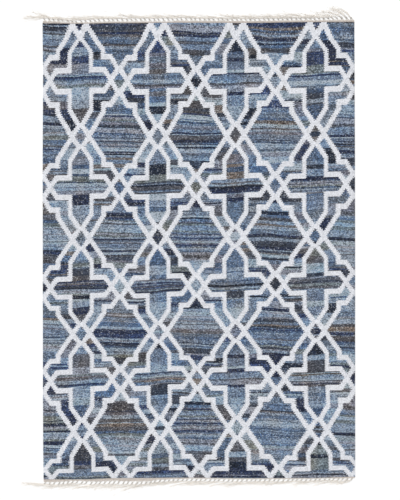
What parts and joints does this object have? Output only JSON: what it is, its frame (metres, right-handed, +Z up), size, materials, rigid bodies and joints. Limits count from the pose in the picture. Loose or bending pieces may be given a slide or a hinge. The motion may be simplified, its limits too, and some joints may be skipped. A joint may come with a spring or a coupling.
{
  "type": "flatweave rug",
  "caption": "Rectangular flatwoven rug of recycled denim weft with an interlaced strap trellis, and a knotted warp fringe swept to one side at both short ends.",
  "frame": {"origin": "centre of the woven field's underside, on the floor", "axes": "+Z up, away from the floor; X across the rug; +Y along the rug to its far end"},
  "size_m": [1.702, 2.4473, 0.0074],
  "materials": {
    "denim_weft": "matte flat weave in mixed blues and greys with an off-white trellis",
    "cotton_warp": "matte undyed cotton yarn"
  },
  "bodies": {
    "root": {"woven_field": "denim_weft", "fringe_near_end": "cotton_warp", "fringe_far_end": "cotton_warp"}
  },
  "joints": []
}
